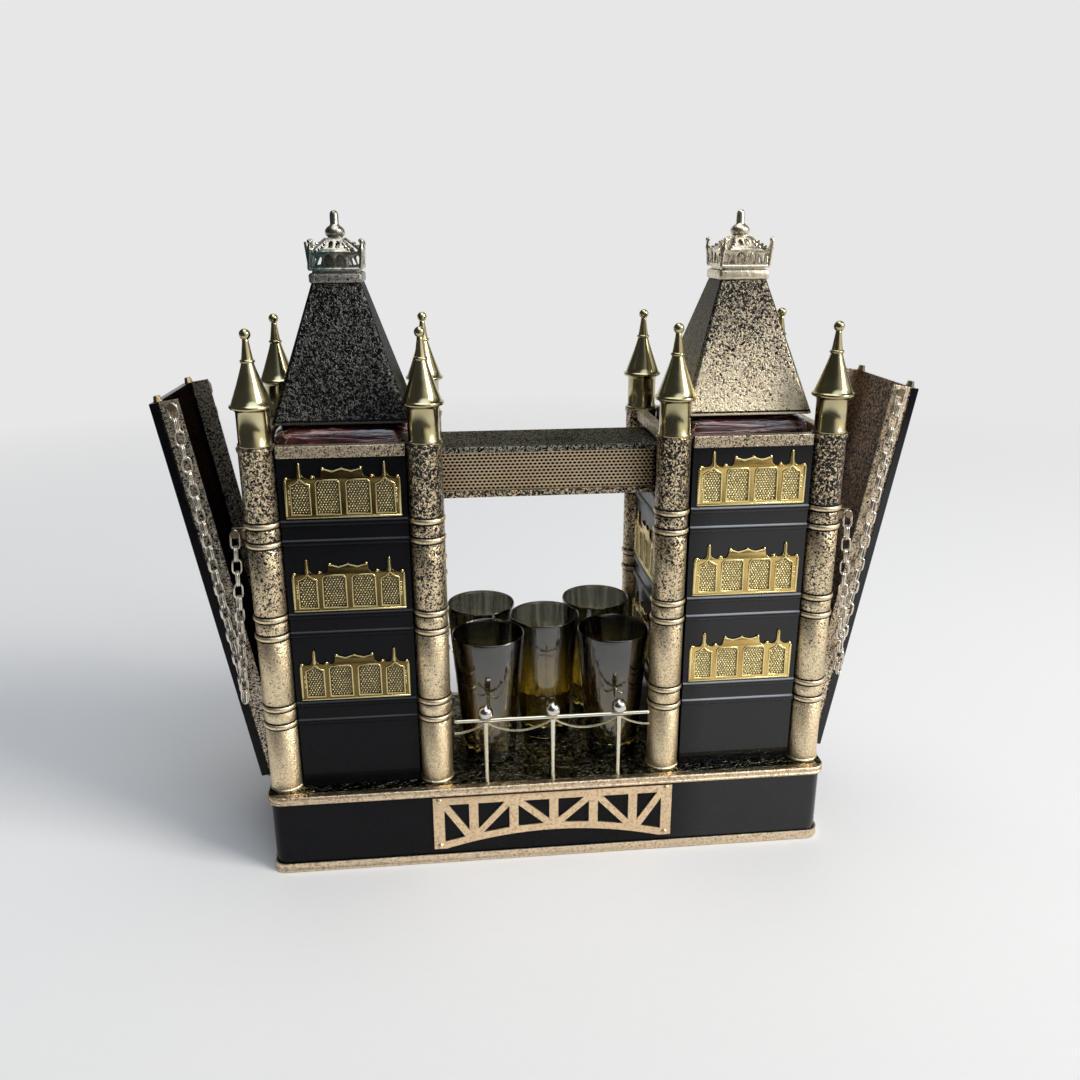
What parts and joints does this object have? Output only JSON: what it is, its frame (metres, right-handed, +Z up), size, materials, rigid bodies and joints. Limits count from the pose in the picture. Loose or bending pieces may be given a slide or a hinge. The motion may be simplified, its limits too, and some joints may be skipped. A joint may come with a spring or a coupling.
{
  "type": "liqueur cabinet",
  "caption": "Bridge-shaped liqueur cabinet: lift-off roofs over square decanters, tumblers on the deck, and hinged end spans that hang on chains.",
  "frame": {"origin": "middle of the underside of the foot tray, on the surface the cabinet stands on", "axes": "+X along the bridge from the left tower to the right one, +Y from front to back, +Z up"},
  "size_m": [0.3828, 0.1147, 0.3375],
  "materials": {
    "antique_brass": "hammered gold brass with dark patina in the hollows",
    "bright_brass": "polished brass",
    "pale_gold": "pale champagne gold, finely stippled",
    "black_wood": "satin black lacquer on wood",
    "plum_glass": "clear dark plum glass",
    "smoke_glass": "thin smoky olive glass",
    "cork": "matt cork",
    "chain_gilt": "pale gilt wire",
    "brass_mesh": "fine brass mesh"
  },
  "bodies": {
    "bridge": {"base_foot_tray": "antique_brass", "base_deck": "antique_brass", "base_plinth": "black_wood", "tower_left_columns": "antique_brass", "tower_left_cornice": "antique_brass", "tower_left_finials": "bright_brass", "tower_left_plaques": "bright_brass", "tower_left_wall_front": "black_wood", "tower_left_wall_rear": "black_wood", "tower_left_wall_inner": "black_wood", "tower_left_wall_outer": "black_wood", "tower_right_columns": "antique_brass", "tower_right_cornice": "antique_brass", "tower_right_finials": "bright_brass", "tower_right_plaques": "bright_brass", "tower_right_wall_front": "black_wood", "tower_right_wall_rear": "black_wood", "tower_right_wall_inner": "black_wood", "tower_right_wall_outer": "black_wood", "walkway_floor": "antique_brass", "walkway_roof": "antique_brass", "walkway_mesh_front": "brass_mesh", "walkway_mesh_rear": "brass_mesh", "gallery_posts": "bright_brass", "gallery_bars": "bright_brass", "gallery_balls": "bright_brass", "gallery_swags": "bright_brass", "girder_front": "pale_gold", "girder_rear": "pale_gold", "girder_rivets": "pale_gold", "hinge_plates": "antique_brass", "hinge_pins": "antique_brass", "chain_brackets": "antique_brass"},
    "leaf_left": {"leaf_left_board": "black_wood", "leaf_left_roadway": "antique_brass", "leaf_left_studs": "antique_brass", "leaf_left_parapets": "pale_gold"},
    "long_strands_left": {"chain_left_long": "chain_gilt"},
    "short_strands_left": {"chain_left_short": "chain_gilt"},
    "decanter_left": {"decanter_left": "plum_glass"},
    "roof_left": {"roof_left": "antique_brass", "roof_cap_left": "antique_brass", "crown_left": "pale_gold", "stopper_left": "cork"},
    "leaf_right": {"leaf_right_board": "black_wood", "leaf_right_roadway": "antique_brass", "leaf_right_studs": "antique_brass", "leaf_right_parapets": "pale_gold"},
    "long_strands_right": {"chain_right_long": "chain_gilt"},
    "short_strands_right": {"chain_right_short": "chain_gilt"},
    "decanter_right": {"decanter_right": "plum_glass"},
    "roof_right": {"roof_right": "antique_brass", "roof_cap_right": "antique_brass", "crown_right": "pale_gold", "stopper_right": "cork"},
    "glass_front_left": {"glass_front_left": "smoke_glass"},
    "glass_front_right": {"glass_front_right": "smoke_glass"},
    "glass_centre": {"glass_centre": "smoke_glass"},
    "glass_rear_left": {"glass_rear_left": "smoke_glass"},
    "glass_rear_right": {"glass_rear_right": "smoke_glass"}
  },
  "joints": [
    {"name": "leaf_left_hinge", "type": "hinge", "parent": "bridge", "child": "leaf_left", "pos_m": [-0.1541, 0, 0.0434], "axis": [0, -1, 0], "range_deg": [0, 80.5]},
    {"name": "long_strands_left_pin", "type": "hinge", "parent": "leaf_left", "child": "long_strands_left", "pos_m": [-0.17983, 0, 0.24867], "axis": [0, -1, 0], "range_deg": [0, 30.79]},
    {"name": "short_strands_left_pin", "type": "hinge", "parent": "bridge", "child": "short_strands_left", "pos_m": [-0.1559, 0, 0.1866], "axis": [0, 1, 0], "range_deg": [0, 46.2]},
    {"name": "decanter_left_lift", "type": "slide", "parent": "bridge", "child": "decanter_left", "axis": [0, 0, 1], "range_m": [0, 0.2]},
    {"name": "roof_left_lift", "type": "slide", "parent": "decanter_left", "child": "roof_left", "axis": [0, 0, 1], "range_m": [0, 0.09]},
    {"name": "leaf_right_hinge", "type": "hinge", "parent": "bridge", "child": "leaf_right", "pos_m": [0.1541, 0, 0.0434], "axis": [0, 1, 0], "range_deg": [0, 80.5]},
    {"name": "long_strands_right_pin", "type": "hinge", "parent": "leaf_right", "child": "long_strands_right", "pos_m": [0.17983, 0, 0.24867], "axis": [0, 1, 0], "range_deg": [0, 30.79]},
    {"name": "short_strands_right_pin", "type": "hinge", "parent": "bridge", "child": "short_strands_right", "pos_m": [0.1559, 0, 0.1866], "axis": [0, -1, 0], "range_deg": [0, 46.2]},
    {"name": "decanter_right_lift", "type": "slide", "parent": "bridge", "child": "decanter_right", "axis": [0, 0, 1], "range_m": [0, 0.2]},
    {"name": "roof_right_lift", "type": "slide", "parent": "decanter_right", "child": "roof_right", "axis": [0, 0, 1], "range_m": [0, 0.09]},
    {"name": "glass_front_left_lift", "type": "slide", "parent": "bridge", "child": "glass_front_left", "axis": [0, -0.2873, 0.9578], "range_m": [0, 0.16]},
    {"name": "glass_front_right_lift", "type": "slide", "parent": "bridge", "child": "glass_front_right", "axis": [-0.0764, -0.2865, 0.955], "range_m": [0, 0.16]},
    {"name": "glass_centre_lift", "type": "slide", "parent": "bridge", "child": "glass_centre", "axis": [0, 0, 1], "range_m": [0, 0.07]},
    {"name": "glass_rear_left_lift", "type": "slide", "parent": "bridge", "child": "glass_rear_left", "axis": [0.0293, 0.2101, 0.9772], "range_m": [0, 0.16]},
    {"name": "glass_rear_right_lift", "type": "slide", "parent": "bridge", "child": "glass_rear_right", "axis": [-0.0589, 0.1787, 0.9821], "range_m": [0, 0.16]}
  ],
  "couplings": [
    {"joint": "long_strands_left_pin", "follows": "leaf_left_hinge", "ratio": 0.3762},
    {"joint": "short_strands_left_pin", "follows": "leaf_left_hinge", "ratio": 0.5676},
    {"joint": "long_strands_right_pin", "follows": "leaf_right_hinge", "ratio": 0.3762},
    {"joint": "short_strands_right_pin", "follows": "leaf_right_hinge", "ratio": 0.5676}
  ]
}
